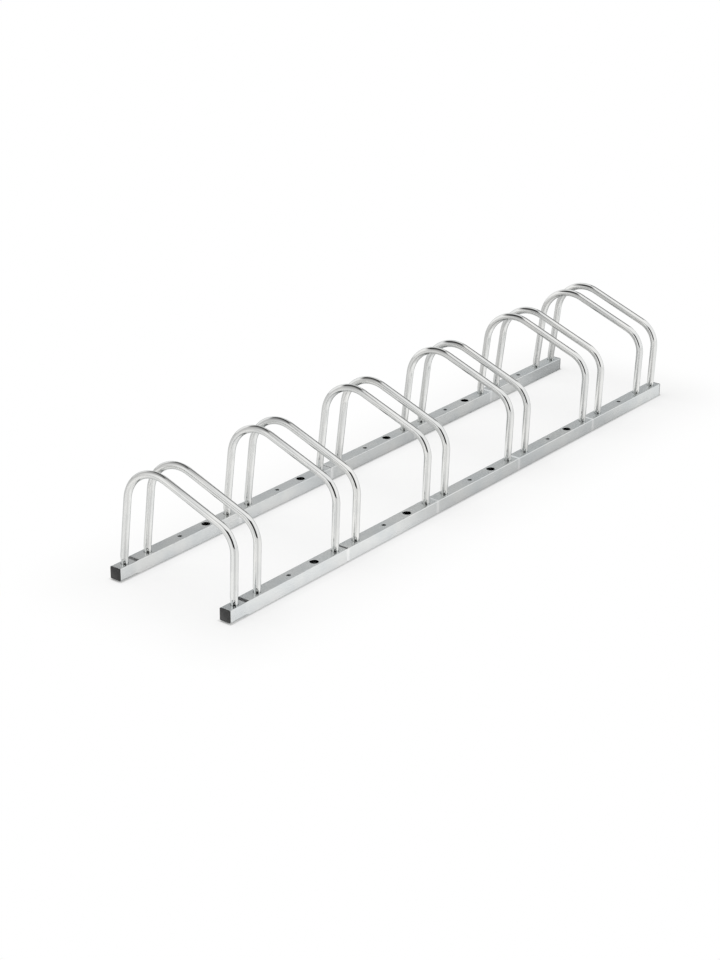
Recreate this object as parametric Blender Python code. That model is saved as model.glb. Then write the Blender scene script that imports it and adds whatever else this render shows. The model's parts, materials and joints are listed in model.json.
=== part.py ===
"""Six-place floor rack for bicycles, in zinc-plated steel.

Two rails of square tube lie on the ground. Each rail is made of like segments
that plug into each other. Pairs of bent round-tube hoops stand in holes in the
rails, and a wheel is pushed in between the two hoops of a pair.

The frame: +X runs along the rails from left to right, +Y from the front rail
to the rear rail, +Z up, with the origin on the ground under the middle.
All lengths are in metres.
"""
import math

import bmesh
import bpy
from mathutils import Matrix, Vector

# Layout of the rack
SEGMENTS = 5                    # segments in one rail, one less than the places
PITCH = 0.310                   # from one wheel place to the next
PAIR_SPACING = 0.067            # between the centre lines of the two hoops of a pair
RAIL_SPACING = 0.293            # between the centre lines of the two rails
FIT_CLEARANCE = 0.0003          # left between pieces that touch

# Rail tube
RAIL_WIDTH = 0.030              # outside, both ways
RAIL_WALL = 0.0015
RAIL_CORNER_RADIUS = 0.0018     # outside
CORNER_STEPS = 2
PLUG_REACH = 0.0255             # from the centre of the first hole to the pressed-down end
SLEEVE_REACH = 0.021            # from the centre of the last hole to the full end
SWAGE_LENGTH = 0.0075           # the ramp between the pressed-down end and the full tube
ANCHOR_OFFSET = 0.163           # from the first hoop hole to the hole for a ground screw
ANCHOR_DIAMETER = 0.0085
HOLE_CLEARANCE = 0.0005         # all round a hoop in its hole

# Hoop tube
TUBE_DIAMETER = 0.016
TUBE_WALL = 0.0015
HOOP_TOP = 0.253                # above the ground, where a hoop stands in a joint
REAR_LEAN = math.radians(6.8)   # the rear leg leans in over the rack
FRONT_LEAN = math.radians(2.0)  # the front leg leans out
SLOPE = math.radians(20.4)      # the top falls to the front
REAR_BEND_RADIUS = 0.080        # of the centre line
FRONT_BEND_RADIUS = 0.058
FOOT_BEND_RADIUS = 0.030        # sets the crimped plug upright under a leaning leg

# Crimped plug at each end of a hoop
CRIMP_ABOVE_RAIL = 0.010        # where the crimp starts
CRIMP_RAMP = 0.006              # over which it reaches its full depth
CRIMP_SHRINK = 0.0003           # off the radius all round
CREASE_DEPTH = 0.0028           # further in, at the four creases
CREASE_SHARPNESS = 3

# End caps
CAP_HEAD = 0.0032               # thickness of the plate that shows
CAP_EDGE = 0.0012               # chamfer round it
PLUG_LENGTH = 0.013             # how far the ribbed plug goes into the tube
PLUG_WALL = 0.0014
RIB_HEIGHT = 0.0009
RIBS = 3

# Fineness of the round shapes
TUBE_SIDES = 12                 # a multiple of 4, so that each crease falls on a corner
BORE_SIDES = 8
HOLE_SIDES = 12
REAR_BEND_STEPS = 6
FRONT_BEND_STEPS = 4
BORE_STEP_SHARE = 0.5           # steps in the bore's bends, against the outside

# Worked out from the sizes above
PLUGGED_WIDTH = RAIL_WIDTH - 2 * (RAIL_WALL + FIT_CLEARANCE)
SLEEVE_FLOOR = (RAIL_WIDTH - PLUGGED_WIDTH) / 2 + RAIL_WALL
HOOP_HOLE_DIAMETER = TUBE_DIAMETER + 2 * HOLE_CLEARANCE
SEAT_IN_SLEEVE = SLEEVE_FLOOR + FIT_CLEARANCE
SEAT_IN_RAIL = RAIL_WALL + FIT_CLEARANCE
RAIL_RUN = SEGMENTS * PITCH     # from the first hoop hole to the last
FIRST_HOLE = (PLUG_REACH - SLEEVE_REACH - RAIL_RUN) / 2
HOOP_HOLES = (0.0, PAIR_SPACING, PITCH - PAIR_SPACING, PITCH)


def clear_scene():
    """Removes what the scene holds, so that the script gives the same result each run."""
    for old in list(bpy.data.objects):
        bpy.data.objects.remove(old, do_unlink=True)


def principled(name, colour, roughness, metallic):
    """A material with one Principled BSDF."""
    material = bpy.data.materials.new(name)
    material.use_nodes = True
    shader = material.node_tree.nodes["Principled BSDF"]
    shader.inputs["Base Color"].default_value = (*colour, 1.0)
    shader.inputs["Roughness"].default_value = roughness
    shader.inputs["Metallic"].default_value = metallic
    material.diffuse_color = (*colour, 1.0)
    return material


def mesh_from(bm, name, sharp_angle=math.radians(30)):
    """Turns a bmesh into a mesh that is smooth on its round sides."""
    bmesh.ops.recalc_face_normals(bm, faces=bm.faces)
    mesh = bpy.data.meshes.new(name)
    bm.to_mesh(mesh)
    bm.free()
    mesh.shade_smooth()
    mesh.set_sharp_from_angle(angle=sharp_angle)
    return mesh


def add_object(name, mesh, parent, location, material=None):
    """Links one object under its parent."""
    piece = bpy.data.objects.new(name, mesh)
    piece.parent = parent
    piece.location = location
    if material is not None and not mesh.materials:
        mesh.materials.append(material)
    bpy.context.collection.objects.link(piece)
    return piece


def boundary(bm):
    """The open edges of a shell."""
    return [edge for edge in bm.edges if edge.is_boundary]


# Hoops


def crimped(radius, angle, amount):
    """The wall's distance from the axis, as four creases sink in at 45 degrees to the rails."""
    crease = abs(math.sin(2 * angle)) ** CREASE_SHARPNESS
    return radius - amount * (CRIMP_SHRINK + CREASE_DEPTH * crease)


class TubeSkin:
    """A ring of edges that is carried along a route and leaves a tube's skin behind it.

    The frame is a matrix at the ring's centre: its Z is the way forward, and
    its X stays along the rack, so every bend lies in the plane of the hoop.
    """

    def __init__(self, bm, start, radius, sides, crimp):
        self.bm = bm
        self.radius = radius
        self.frame = Matrix.Translation(start)
        start_frame = self.frame @ Matrix.Rotation(math.pi / 4, 4, "Z")
        made = bmesh.ops.create_circle(bm, segments=sides, radius=radius, matrix=start_frame)
        self.ring = list({edge for vert in made["verts"] for edge in vert.link_edges})
        self.shape(made["verts"], self.frame, crimp)

    def shape(self, verts, old_frame, crimp):
        """Moves the ring's points from an old frame to the present one, and crimps them."""
        to_local = old_frame.inverted()
        for vert in verts:
            local = to_local @ vert.co
            angle = math.atan2(local.y, local.x)
            reach = crimped(self.radius, angle, crimp)
            vert.co = self.frame @ Vector((reach * math.cos(angle), reach * math.sin(angle), 0))

    def straight(self, length, crimp=0.0):
        """Carries the ring straight on."""
        made = bmesh.ops.extrude_edge_only(self.bm, edges=self.ring)["geom"]
        self.ring = [part for part in made if isinstance(part, bmesh.types.BMEdge)]
        old_frame = self.frame
        self.frame = self.frame @ Matrix.Translation((0, 0, length))
        self.shape([part for part in made if isinstance(part, bmesh.types.BMVert)], old_frame, crimp)

    def bend(self, angle, radius, steps):
        """Spins the ring round the bend's centre, which is on its -Y side for a positive angle."""
        side = math.copysign(radius, angle)
        centre = self.frame @ Vector((0, -side, 0))
        made = bmesh.ops.spin(self.bm, geom=self.ring, cent=centre, axis=(1, 0, 0), angle=angle,
                              steps=steps, use_merge=False, use_duplicate=False)
        self.ring = [part for part in made["geom_last"] if isinstance(part, bmesh.types.BMEdge)]
        turn = Matrix.Rotation(angle, 4, "X")
        self.frame = Matrix.Translation(centre) @ turn @ Matrix.Translation(-centre) @ self.frame


def cross(a, b):
    """The cross product of two plane vectors."""
    return a.x * b.y - a.y * b.x


def hoop_runs(plug_top):
    """Lengths of the rear leg, the slope and the front leg, between the bends.

    The vectors are (along Y, up), with the ground line through the hoop's feet.
    """
    half = RAIL_SPACING / 2
    top = HOOP_TOP - SEAT_IN_SLEEVE - TUBE_DIAMETER / 2

    def foot(side, lean):
        shift = FOOT_BEND_RADIUS * (1 - math.cos(lean))
        return Vector((side * half - shift, plug_top + FOOT_BEND_RADIUS * math.sin(lean)))

    rear_foot = foot(1, REAR_LEAN)
    front_foot = foot(-1, FRONT_LEAN)
    up_rear = Vector((-math.sin(REAR_LEAN), math.cos(REAR_LEAN)))
    down_slope = Vector((-math.cos(SLOPE), -math.sin(SLOPE)))
    down_front = Vector((math.sin(FRONT_LEAN), -math.cos(FRONT_LEAN)))

    def inward(way):
        return Vector((-way.y, way.x))

    rise = top - REAR_BEND_RADIUS - rear_foot.y + REAR_BEND_RADIUS * math.sin(REAR_LEAN)
    rear_leg = rise / math.cos(REAR_LEAN)
    rear_centre = rear_foot + rear_leg * up_rear + REAR_BEND_RADIUS * inward(up_rear)
    slope_start = rear_centre - REAR_BEND_RADIUS * inward(down_slope)
    corner = FRONT_BEND_RADIUS * (inward(down_slope) - inward(down_front))
    rest = front_foot - slope_start - corner
    slope = cross(rest, down_front) / cross(down_slope, down_front)
    front_leg = cross(down_slope, rest) / cross(down_slope, down_front)
    return rear_leg, slope, front_leg


def run_hoop(bm, radius, sides, step_share):
    """One skin of a hoop, from the rear foot over the top to the front foot."""
    crimp_top = RAIL_WIDTH + CRIMP_ABOVE_RAIL - SEAT_IN_SLEEVE
    full_crimp = crimp_top - CRIMP_RAMP
    rear_leg, slope, front_leg = hoop_runs(crimp_top)
    rear_steps = math.ceil(REAR_BEND_STEPS * step_share)
    front_steps = math.ceil(FRONT_BEND_STEPS * step_share)

    skin = TubeSkin(bm, Vector((0, RAIL_SPACING / 2, 0)), radius, sides, crimp=1.0)
    skin.straight(full_crimp, crimp=1.0)
    skin.straight(CRIMP_RAMP)
    skin.bend(REAR_LEAN, FOOT_BEND_RADIUS, 1)
    skin.straight(rear_leg)
    skin.bend(math.pi / 2 - REAR_LEAN + SLOPE, REAR_BEND_RADIUS, rear_steps)
    skin.straight(slope)
    skin.bend(math.pi / 2 - SLOPE + FRONT_LEAN, FRONT_BEND_RADIUS, front_steps)
    skin.straight(front_leg)
    skin.bend(-FRONT_LEAN, FOOT_BEND_RADIUS, 1)
    skin.straight(CRIMP_RAMP, crimp=1.0)
    skin.straight(full_crimp, crimp=1.0)


def make_hoop_mesh():
    """A bent tube, open at both crimped ends."""
    bm = bmesh.new()
    run_hoop(bm, TUBE_DIAMETER / 2, TUBE_SIDES, 1.0)
    outside = set(bm.faces)
    run_hoop(bm, TUBE_DIAMETER / 2 - TUBE_WALL, BORE_SIDES, BORE_STEP_SHARE)
    # The bore has to face inwards before the rims are bridged, or the bridges cross over
    bmesh.ops.recalc_face_normals(bm, faces=bm.faces)
    bmesh.ops.reverse_faces(bm, faces=[face for face in bm.faces if face not in outside])
    rims = boundary(bm)
    for rear in (True, False):
        rim = [edge for edge in rims if (edge.verts[0].co.y > 0) == rear]
        bmesh.ops.bridge_loops(bm, edges=rim)
    return mesh_from(bm, "hoop", math.radians(40))


# Rails


def make_hole_cutter():
    """Cylinders for the holes of one segment: hoop holes in the top wall, a screw hole through both."""
    bm = bmesh.new()
    middle = RAIL_WIDTH / 2
    for x in HOOP_HOLES:
        place = Matrix.Translation((x, 0, middle + RAIL_WIDTH / 2))
        bmesh.ops.create_cone(bm, cap_ends=True, segments=HOLE_SIDES, radius1=HOOP_HOLE_DIAMETER / 2,
                              radius2=HOOP_HOLE_DIAMETER / 2, depth=RAIL_WIDTH, matrix=place)
    bmesh.ops.create_cone(bm, cap_ends=True, segments=HOLE_SIDES, radius1=ANCHOR_DIAMETER / 2,
                          radius2=ANCHOR_DIAMETER / 2, depth=2 * RAIL_WIDTH,
                          matrix=Matrix.Translation((ANCHOR_OFFSET, 0, middle)))
    return mesh_from(bm, "hole_cutter")


def make_rail_skin():
    """The outside of one segment: a square ring run along X, pressed down at its left end."""
    bm = bmesh.new()
    swage_start = SLEEVE_REACH + FIT_CLEARANCE
    sections = (
        (-PLUG_REACH, PLUGGED_WIDTH),
        (swage_start, PLUGGED_WIDTH),
        (swage_start + SWAGE_LENGTH, RAIL_WIDTH),
        (PITCH + SLEEVE_REACH, RAIL_WIDTH),
    )
    upright = Matrix.Rotation(math.pi / 2, 4, "Y") @ Matrix.Rotation(math.pi / 4, 4, "Z")
    x, width = sections[0]
    place = Matrix.Translation((x, 0, RAIL_WIDTH / 2)) @ upright
    made = bmesh.ops.create_circle(bm, segments=4, radius=width / math.sqrt(2), matrix=place)
    ring = list({edge for vert in made["verts"] for edge in vert.link_edges})
    for next_x, next_width in sections[1:]:
        geom = bmesh.ops.extrude_edge_only(bm, edges=ring)["geom"]
        ring = [part for part in geom if isinstance(part, bmesh.types.BMEdge)]
        verts = [part for part in geom if isinstance(part, bmesh.types.BMVert)]
        growth = next_width / width
        to_axis = Matrix.Translation((-x, 0, -RAIL_WIDTH / 2))
        bmesh.ops.scale(bm, vec=(1, growth, growth), space=to_axis, verts=verts)
        bmesh.ops.translate(bm, vec=(next_x - x, 0, 0), verts=verts)
        x, width = next_x, next_width
    long_edges = [edge for edge in bm.edges if not edge.is_boundary and not is_ring_edge(edge)]
    bmesh.ops.bevel(bm, geom=long_edges, offset=RAIL_CORNER_RADIUS, offset_type="OFFSET",
                    segments=CORNER_STEPS, profile=0.5, affect="EDGES", material=-1)
    return mesh_from(bm, "rail_skin", math.radians(20))


def is_ring_edge(edge):
    """True for an edge that lies across the rail."""
    return abs(edge.verts[0].co.x - edge.verts[1].co.x) < FIT_CLEARANCE / 2


def make_rail_mesh():
    """One rail segment, hollow, with its holes: the shape is baked once and shared by all."""
    tube = bpy.data.objects.new("rail_tube", make_rail_skin())
    cutter = bpy.data.objects.new("hole_cutter", make_hole_cutter())
    for helper in (tube, cutter):
        bpy.context.collection.objects.link(helper)
    wall = tube.modifiers.new("wall", "SOLIDIFY")
    wall.thickness = RAIL_WALL
    wall.offset = -1
    wall.use_even_offset = True
    holes = tube.modifiers.new("holes", "BOOLEAN")
    holes.operation = "DIFFERENCE"
    holes.solver = "EXACT"
    holes.object = cutter
    graph = bpy.context.evaluated_depsgraph_get()
    mesh = bpy.data.meshes.new_from_object(tube.evaluated_get(graph))
    mesh.name = "rail_segment"
    for helper in (tube, cutter):
        bpy.data.objects.remove(helper, do_unlink=True)
    return mesh


# End caps


def make_cap_mesh(name, tube_width):
    """A square plastic cap: a head plate, and a ribbed hollow plug that points along +X."""
    bore = tube_width - 2 * RAIL_WALL
    rib = bore - 2 * FIT_CLEARANCE
    core = rib - 2 * RIB_HEIGHT
    rib_pitch = PLUG_LENGTH / (RIBS + 1)
    sections = [
        (-CAP_HEAD, tube_width - 2 * CAP_EDGE),
        (-CAP_HEAD + CAP_EDGE, tube_width),
        (0.0, tube_width),
        (0.0, core),
    ]
    for index in range(RIBS):
        crest = (index + 0.75) * rib_pitch
        sections.append((crest, rib))
        sections.append((crest + rib_pitch / 2, core))
    sections.append((PLUG_LENGTH, core))
    sections.append((PLUG_LENGTH, core - 2 * PLUG_WALL))
    sections.append((0.0, core - 2 * PLUG_WALL))

    bm = bmesh.new()
    x, width = sections[0]
    upright = Matrix.Rotation(math.pi / 2, 4, "Y")
    place = Matrix.Translation((x, 0, 0)) @ upright
    bmesh.ops.create_grid(bm, x_segments=1, y_segments=1, size=width / 2, matrix=place)
    bmesh.ops.bevel(bm, geom=bm.verts[:], offset=RAIL_CORNER_RADIUS, offset_type="OFFSET",
                    segments=CORNER_STEPS, profile=0.5, affect="VERTICES", material=-1)
    ring = bm.edges[:]
    for next_x, next_width in sections[1:]:
        geom = bmesh.ops.extrude_edge_only(bm, edges=ring)["geom"]
        ring = [part for part in geom if isinstance(part, bmesh.types.BMEdge)]
        verts = [part for part in geom if isinstance(part, bmesh.types.BMVert)]
        growth = next_width / width
        bmesh.ops.scale(bm, vec=(1, growth, growth), verts=verts)
        bmesh.ops.translate(bm, vec=(next_x - x, 0, 0), verts=verts)
        x, width = next_x, next_width
    bmesh.ops.contextual_create(bm, geom=ring)
    return mesh_from(bm, name)


# Assembly


def add_rails(rack, material):
    """Two rails of plugged-together segments."""
    mesh = make_rail_mesh()
    for rail_name, side in (("front_rail", -1), ("rear_rail", 1)):
        rail = add_object(f"{rail_name}_line", None, rack, (FIRST_HOLE, side * RAIL_SPACING / 2, 0))
        for index in range(SEGMENTS):
            add_object(f"{rail_name}_{index + 1}", mesh, rail, (index * PITCH, 0, 0), material)


def add_hoops(rack, material):
    """Pairs of hoops. A hoop in a joint stands on the plugged-in tube, the others on the rail's floor."""
    mesh = make_hoop_mesh()
    for index in range(SEGMENTS + 1):
        last = index == SEGMENTS
        left = RAIL_RUN - PAIR_SPACING if last else index * PITCH
        place = add_object(f"place_{index + 1}", None, rack, (FIRST_HOLE + left, 0, 0))
        left_seat = SEAT_IN_RAIL if last else SEAT_IN_SLEEVE
        add_object(f"hoop_{index + 1}_left", mesh, place, (0, 0, left_seat), material)
        add_object(f"hoop_{index + 1}_right", mesh, place, (PAIR_SPACING, 0, SEAT_IN_RAIL), material)


def add_caps(rack, material):
    """A cap in each open tube end, small in the pressed-down ends and large in the full ones."""
    small = make_cap_mesh("small_cap", PLUGGED_WIDTH)
    large = make_cap_mesh("large_cap", RAIL_WIDTH)
    left_end = FIRST_HOLE - PLUG_REACH - FIT_CLEARANCE
    right_end = FIRST_HOLE + RAIL_RUN + SLEEVE_REACH + FIT_CLEARANCE
    for rail_name, side in (("front", -1), ("rear", 1)):
        y = side * RAIL_SPACING / 2
        add_object(f"end_cap_{rail_name}_left", small, rack, (left_end, y, RAIL_WIDTH / 2), material)
        cap = add_object(f"end_cap_{rail_name}_right", large, rack, (right_end, y, RAIL_WIDTH / 2), material)
        cap.rotation_euler = (0, 0, math.pi)


def main():
    """Builds the rack under one empty."""
    clear_scene()
    zinc_rail = principled("zinc_plated_square_tube", (0.48, 0.51, 0.52), 0.38, 1.0)
    zinc_hoop = principled("zinc_plated_round_tube", (0.66, 0.66, 0.64), 0.22, 1.0)
    plastic = principled("black_polyethylene", (0.022, 0.022, 0.021), 0.5, 0.0)
    rack = add_object("rack", None, None, (0, 0, 0))
    add_rails(rack, zinc_rail)
    add_hoops(rack, zinc_hoop)
    add_caps(rack, plastic)


main()
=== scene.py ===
import json
import math
from typing import NamedTuple

import bmesh
import bpy
from bpy.props import FloatProperty, FloatVectorProperty, IntProperty, PointerProperty
from mathutils import Matrix, Vector

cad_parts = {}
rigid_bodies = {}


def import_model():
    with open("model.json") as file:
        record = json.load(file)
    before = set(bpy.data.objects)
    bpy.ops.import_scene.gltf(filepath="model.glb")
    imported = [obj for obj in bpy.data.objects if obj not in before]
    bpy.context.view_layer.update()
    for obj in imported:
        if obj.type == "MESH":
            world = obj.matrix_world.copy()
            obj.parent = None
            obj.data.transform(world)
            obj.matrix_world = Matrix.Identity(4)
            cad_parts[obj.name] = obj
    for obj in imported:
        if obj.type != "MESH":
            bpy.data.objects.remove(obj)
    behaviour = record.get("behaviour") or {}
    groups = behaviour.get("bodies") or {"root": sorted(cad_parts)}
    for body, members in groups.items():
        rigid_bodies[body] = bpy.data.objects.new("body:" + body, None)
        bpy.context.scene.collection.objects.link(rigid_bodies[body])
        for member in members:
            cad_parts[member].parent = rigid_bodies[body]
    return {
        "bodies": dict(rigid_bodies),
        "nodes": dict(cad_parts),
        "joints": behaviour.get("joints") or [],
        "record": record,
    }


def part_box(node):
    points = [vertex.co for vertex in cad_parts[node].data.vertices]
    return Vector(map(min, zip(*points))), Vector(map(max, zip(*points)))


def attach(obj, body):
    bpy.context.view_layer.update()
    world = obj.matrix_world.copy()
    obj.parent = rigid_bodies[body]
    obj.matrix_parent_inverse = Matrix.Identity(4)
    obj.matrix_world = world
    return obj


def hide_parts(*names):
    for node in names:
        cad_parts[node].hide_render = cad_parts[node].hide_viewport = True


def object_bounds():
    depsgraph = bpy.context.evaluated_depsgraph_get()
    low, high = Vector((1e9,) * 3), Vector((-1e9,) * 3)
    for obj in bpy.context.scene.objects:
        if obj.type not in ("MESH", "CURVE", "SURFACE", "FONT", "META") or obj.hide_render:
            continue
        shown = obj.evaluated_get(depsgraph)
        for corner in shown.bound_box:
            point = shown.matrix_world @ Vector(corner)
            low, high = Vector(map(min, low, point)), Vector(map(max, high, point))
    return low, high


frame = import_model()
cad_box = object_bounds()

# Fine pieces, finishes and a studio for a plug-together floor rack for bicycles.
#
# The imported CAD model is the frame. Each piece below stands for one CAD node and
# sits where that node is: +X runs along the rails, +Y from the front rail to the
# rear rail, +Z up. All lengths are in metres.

bl_info = {
    "name": "Bicycle rack",
    "version": (1, 0, 0),
    "blender": (4, 5, 0),
    "location": "3D View > Sidebar > Bicycle rack",
    "description": "Builds the hoops, rails and end caps of a floor rack, and a studio",
    "category": "Object",
}

BODY = "root"
SEGMENTS = 5
SIDES = ("left", "right")

RAIL_LOW, RAIL_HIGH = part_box("front_rail_1")
LEFT_HOOP_LOW, LEFT_HOOP_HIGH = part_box("hoop_1_left")
RIGHT_HOOP_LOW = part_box("hoop_1_right")[0]
RAIL_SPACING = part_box("rear_rail_1")[0].y - RAIL_LOW.y

# Fineness of the round shapes
TUBE_SIDES = 48                 # a multiple of 4, so that each crease falls on a corner
BORE_SIDES = 24
REAR_BEND_STEPS = 28
FRONT_BEND_STEPS = 22
FOOT_BEND_STEPS = 3
CRIMP_STEPS = 8
SWAGE_STEPS = 10
CORNER_STEPS = 6
HOLE_SIDES = 48
LIP_STEPS = 5
LIP_TURN = math.radians(72)     # how much of a quarter round a rolled lip is
CUT_EDGE_STEPS = 2
CUT_EDGE_ANGLE = math.radians(60)       # sharper edges than this are rounded
CAP_EDGE_STEPS = 3
FLOOR_SIDES = 64
SAME_PLACE = 1e-6               # points closer than this are at the same place


def linear(hex_colour):
    """Turns an sRGB hex colour into the linear values that a shader takes."""
    parts = [int(hex_colour[i:i + 2], 16) / 255 for i in (1, 3, 5)]
    return tuple(c / 12.92 if c <= 0.04045 else ((c + 0.055) / 1.055) ** 2.4 for c in parts)


def smooth_step(share):
    """Eases a share of 0 to 1 in and out."""
    return share * share * (3 - 2 * share)


# Settings


def length(name, description, default):
    """A property for a length."""
    return FloatProperty(name=name, description=description, default=default, min=0.0,
                         unit="LENGTH", precision=4)


def angle(name, description, degrees):
    """A property for an angle."""
    return FloatProperty(name=name, description=description, default=math.radians(degrees),
                         unit="ROTATION")


def amount(name, description, default):
    """A property for a plain number."""
    return FloatProperty(name=name, description=description, default=default, min=0.0)


def factor(name, description, default):
    """A property for a share from 0 to 1."""
    return FloatProperty(name=name, description=description, default=default, min=0.0, max=1.0,
                         subtype="FACTOR")


def colour(name, description, hex_colour):
    """A property for a colour."""
    return FloatVectorProperty(name=name, description=description, default=linear(hex_colour),
                               subtype="COLOR", min=0.0, max=1.0)


class RackHoopSettings(bpy.types.PropertyGroup):
    """Sizes and colours of the bent tube hoops."""

    diameter: length("Diameter", "Outside diameter of the round tube", 0.016)
    wall: length("Wall", "Wall thickness of the round tube", 0.0015)
    height: length("Height", "From a hoop's feet to its top", LEFT_HOOP_HIGH.z - LEFT_HOOP_LOW.z)
    spread: length("Spread", "Between the centres of a hoop's two feet", RAIL_SPACING)
    rear_lean: angle("Rear lean", "How far the rear leg leans in over the rack", 6.8)
    front_lean: angle("Front lean", "How far the front leg leans out", 2.0)
    slope: angle("Slope", "Fall of the top towards the front", 20.4)
    rear_radius: length("Rear bend", "Centre line radius of the rear bend", 0.080)
    front_radius: length("Front bend", "Centre line radius of the front bend", 0.058)
    foot_radius: length("Foot bend", "Centre line radius of the bend above each foot", 0.030)
    crimp_height: length("Crimp height", "From the tube's end to where the crimp runs out", 0.0405)
    crimp_ramp: length("Crimp ramp", "Length over which the crimp runs out", 0.0120)
    crimp_shrink: length("Crimp shrink", "Taken off the radius all round in the crimp", 0.0003)
    crease_depth: length("Crease depth", "How much further two opposite creases sink in", 0.0030)
    side_crease: length("Side crease depth", "How much further the other two sink in", 0.0008)
    crease_sharpness: amount("Crease sharpness", "Higher is narrower", 14.0)
    zinc: colour("Zinc", "Bright zinc plating", "#EEEEEC")
    cloud: colour("Clouding", "Duller patches in the plating", "#E4E5E4")
    edge: colour("Edge", "Tint of the plating where it turns away from the eye", "#D8DADB")
    roughness: factor("Roughness", "Of the bright plating", 0.08)


class RackRailSettings(bpy.types.PropertyGroup):
    """Sizes and colours of the rail segments."""

    width: length("Width", "Outside width of the square tube", RAIL_HIGH.z - RAIL_LOW.z)
    wall: length("Wall", "Wall thickness of the square tube", 0.0015)
    corner: length("Corner", "Outside radius of the tube's corners", 0.0018)
    plugged_width: length("Plug width", "Outside width of the pressed-down end", 0.0264)
    plug_reach: length("Plug reach", "From the first hole to the pressed-down end", 0.0255)
    swage_start: length("Ramp start", "From the first hole to the start of the ramp", 0.0200)
    swage_length: length("Ramp length", "From the pressed-down part to the full width", 0.0088)
    pitch: length("Pitch", "From the first hole to the last", 0.310)
    pair_spacing: length("Pair spacing", "Between the hoops of a pair",
                         RIGHT_HOOP_LOW.x - LEFT_HOOP_LOW.x)
    sleeve_reach: length("Sleeve reach", "From the last hole to the full end", 0.021)
    hoop_hole: length("Hoop hole", "Diameter of a hoop's hole", 0.0166)
    screw_hole: length("Screw hole", "Diameter of the hole for a ground screw", 0.0096)
    screw_offset: length("Screw hole offset", "From the first hole to the screw hole", 0.163)
    free_hole: length("Free hole", "Diameter of the hole that waits for a hoop", 0.0190)
    free_lip: length("Free hole lip", "Rolled edge of the free hole", 0.0006)
    lip: length("Lip", "Rolled edge of the other holes", 0.0005)
    cut_edge: length("Cut edge", "Rounding of the cut edges", 0.00025)
    zinc: colour("Zinc", "Zinc plating", "#E9EAE9")
    cloud: colour("Clouding", "Bluish patches in the plating", "#DEE1E2")
    edge: colour("Edge", "Tint of the plating where it turns away from the eye", "#C8CDCE")
    # The joined ramps' sides get a painted highlight, tinted towards white, for the light reflected
    # at the joints
    joint_highlight: factor("Painted highlight", "How bright the sides of the joined ramps are rubbed", 0.45)
    inside: colour("Inside", "Bare steel inside the tube", "#9AA0A3")
    # The holes' cut edges are near black: partly their bare steel, partly painted shade that makes
    # the holes look deep
    punched_and_shaded: colour("Punched edge", "Bare steel of the punched edges", "#24292C")
    roughness: factor("Roughness", "Of the satin plating", 0.22)


class RackCapSettings(bpy.types.PropertyGroup):
    """Sizes and colours of the plastic end caps."""

    head: length("Head", "Thickness of the plate that shows", 0.0032)
    border: length("Border", "Width of the smooth border round the grained panel", 0.0030)
    rise: length("Rise", "How far the grained panel stands above the border", 0.0004)
    edge: length("Edge", "Rounding of the plate's edge", 0.0010)
    plug: length("Plug", "How far the ribbed plug goes into the tube", 0.013)
    plug_wall: length("Plug wall", "Wall thickness of the plug", 0.0014)
    rib: length("Rib", "Height of the ribs", 0.0009)
    ribs: IntProperty(name="Ribs", description="Ribs round the plug", default=3, min=1, max=6)
    gap: length("Gap", "Left between the ribs and the tube", 0.0003)
    smooth: colour("Smooth plastic", "Black polyethylene of the border", "#2A2A2A")
    grained: colour("Grained plastic", "Black polyethylene of the panel", "#6C6C68")


class RackStageSettings(bpy.types.PropertyGroup):
    """The camera, the light and the floor."""

    azimuth: angle("Azimuth", "Turn of the camera round the rack, where 0 looks along +Y", -51.97)
    elevation: angle("Elevation", "Height of the camera over the horizon", 23.21)
    roll: angle("Roll", "Turn of the camera about its own axis", 0.474)
    distance: length("Distance", "From the camera to its target", 4.6512)
    target: FloatVectorProperty(name="Target", description="The point that the camera looks at",
                                default=(-0.0887, 0.0829, 0.0), subtype="TRANSLATION")
    lens: FloatProperty(name="Lens", description="Focal length on a sensor 36 mm long",
                        default=78.02, min=10.0)
    softbox: FloatProperty(name="Softbox", description="Power of the softbox overhead",
                           default=50.0, min=0.0, unit="POWER")
    room: amount("Room", "Strength of the light from all round", 0.65)
    floor: colour("Floor", "Floor paint", "#F3F3F2")
    floor_glow: factor("Floor glow", "Share of even white under the rack", 0.70)
    floor_sheen: factor("Floor sheen", "Share of evened floor that the metal mirrors", 0.60)
    floor_gloss: factor("Floor gloss", "Share of light that the floor mirrors", 0.24)
    contact_reach: length("Contact reach", "Width of the dark line beside the rails", 0.005)
    shadow_reach: length("Shadow reach", "From the rack to where the floor is all white", 0.22)


# Finishes

# Sockets of a Mix node by number, because those for colours and for floats share their names
COLOUR_A, COLOUR_B, COLOUR_RESULT = 6, 7, 2
FLOAT_A, FLOAT_B = 2, 3

WHITE = (1.0, 1.0, 1.0, 1.0)

# Noise stays near its middle, so it is used between these values
CLOUD_RANGE = (0.38, 0.62)
LINE_RANGE = (0.3, 0.7)
LINE_GLOSS = (0.8, 1.25)        # the smoothest and the roughest lines, as shares of the roughness
HIGHLIGHT_FADE = (0.2, 0.8)       # where the painted highlight fades, from the ramp's middle, in ramp lengths


def add_node(tree, kind, inputs=(), **settings):
    """Adds a node with its settings. An input takes a value, or a socket or node to link from."""
    made = tree.nodes.new(kind)
    for name, value in settings.items():
        setattr(made, name, value)
    for name, value in dict(inputs).items():
        if isinstance(value, bpy.types.Node):
            value = value.outputs[0]
        if isinstance(value, bpy.types.NodeSocket):
            tree.links.new(value, made.inputs[name])
        else:
            made.inputs[name].default_value = value
    return made


def new_material(name):
    """An empty material, its node tree and its output."""
    material = bpy.data.materials.new(name)
    material.use_nodes = True
    tree = material.node_tree
    tree.nodes.clear()
    return material, tree, add_node(tree, "ShaderNodeOutputMaterial")


def opaque(tint):
    """A colour with full alpha."""
    return (*tint, 1.0)


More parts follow.
